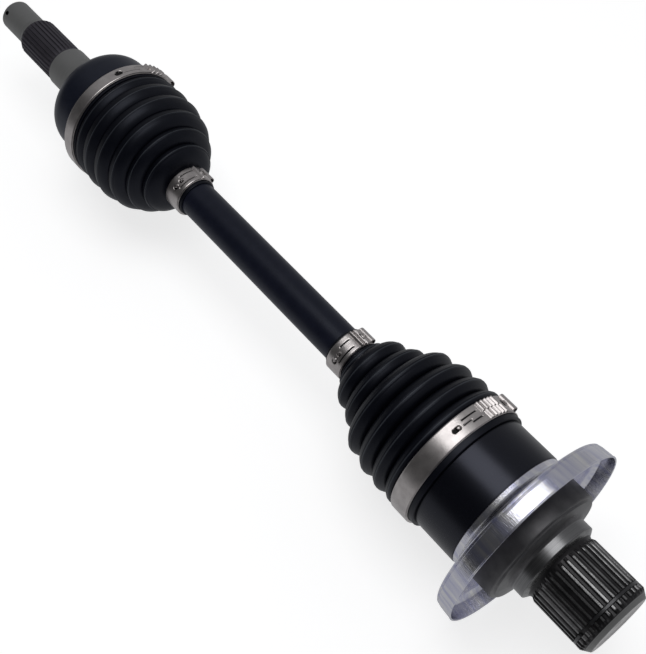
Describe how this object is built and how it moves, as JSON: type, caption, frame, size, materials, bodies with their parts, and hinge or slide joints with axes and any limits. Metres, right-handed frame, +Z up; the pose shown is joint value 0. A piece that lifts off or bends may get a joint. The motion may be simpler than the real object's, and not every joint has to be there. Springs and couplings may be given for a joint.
{
  "type": "cv axle",
  "caption": "Half shaft with a fixed ball joint at one end and a plunging ball joint at the other, each with rubber bellows, and splined stubs.",
  "frame": {"origin": "the middle of the axle's length, on its centre line", "axes": "+X along the centre line towards the inboard (gearbox) end, +Z up"},
  "size_m": [0.5836, 0.12, 0.12],
  "materials": {
    "bar_black": "satin",
    "bell_black": "satin, with a bare matte grey stub",
    "cup_black": "satin, with a dark phosphated spline and a bright journal",
    "race_steel": "ground",
    "cage_steel": "satin",
    "ball_steel": "polished",
    "boot_rubber": "smooth matte",
    "clamp_steel": "satin stainless",
    "shield_zinc": "bright zinc plate",
    "ring_steel": "oiled spring steel"
  },
  "bodies": {
    "shaft": {"axle_bar": "bar_black", "outboard_inner_race": "race_steel", "inboard_inner_race": "race_steel", "outboard_race_end_ring": "ring_steel", "outboard_race_stop_ring": "ring_steel", "inboard_race_stop_ring": "ring_steel", "inboard_race_end_ring": "ring_steel", "outboard_boot_clamp_small": "clamp_steel", "inboard_boot_clamp_small": "clamp_steel"},
    "outboard_joint_bell": {"outboard_bell": "bell_black", "outboard_boot": "boot_rubber", "outboard_boot_clamp_large": "clamp_steel"},
    "outboard_joint_cage": {"outboard_cage": "cage_steel", "outboard_ball_1": "ball_steel", "outboard_ball_2": "ball_steel", "outboard_ball_3": "ball_steel", "outboard_ball_4": "ball_steel", "outboard_ball_5": "ball_steel", "outboard_ball_6": "ball_steel"},
    "inboard_boot_carrier": {"inboard_boot": "boot_rubber"},
    "inboard_joint_cup": {"inboard_cup": "cup_black", "dust_shield": "shield_zinc", "inboard_ball_retaining_ring": "ring_steel", "stub_snap_ring": "ring_steel", "inboard_boot_clamp_large": "clamp_steel"},
    "inboard_joint_cage": {"inboard_cage": "cage_steel", "inboard_ball_1": "ball_steel", "inboard_ball_2": "ball_steel", "inboard_ball_3": "ball_steel", "inboard_ball_4": "ball_steel", "inboard_ball_5": "ball_steel", "inboard_ball_6": "ball_steel"}
  },
  "joints": [
    {"name": "outboard_bend", "type": "hinge", "parent": "shaft", "child": "outboard_joint_bell", "pos_m": [-0.1635, 0, 0], "axis": [0, 1, 0], "range_deg": [-36, 36], "deforming": ["outboard_boot"]},
    {"name": "outboard_cage_tilt", "type": "hinge", "parent": "shaft", "child": "outboard_joint_cage", "pos_m": [-0.1635, 0, 0], "axis": [0, 1, 0], "range_deg": [-18, 18]},
    {"name": "inboard_bend", "type": "hinge", "parent": "shaft", "child": "inboard_boot_carrier", "pos_m": [0.198, 0, 0], "axis": [0, 1, 0], "range_deg": [-16, 16], "deforming": ["inboard_boot"]},
    {"name": "inboard_plunge", "type": "slide", "parent": "inboard_boot_carrier", "child": "inboard_joint_cup", "axis": [1, 0, 0], "range_m": [-0.012, 0.012], "deforming": ["inboard_boot"]},
    {"name": "inboard_cage_tilt", "type": "hinge", "parent": "shaft", "child": "inboard_joint_cage", "pos_m": [0.198, 0, 0], "axis": [0, 1, 0], "range_deg": [-8, 8]}
  ],
  "couplings": [
    {"joint": "outboard_cage_tilt", "follows": "outboard_bend", "ratio": 0.5},
    {"joint": "inboard_cage_tilt", "follows": "inboard_bend", "ratio": 0.5}
  ]
}
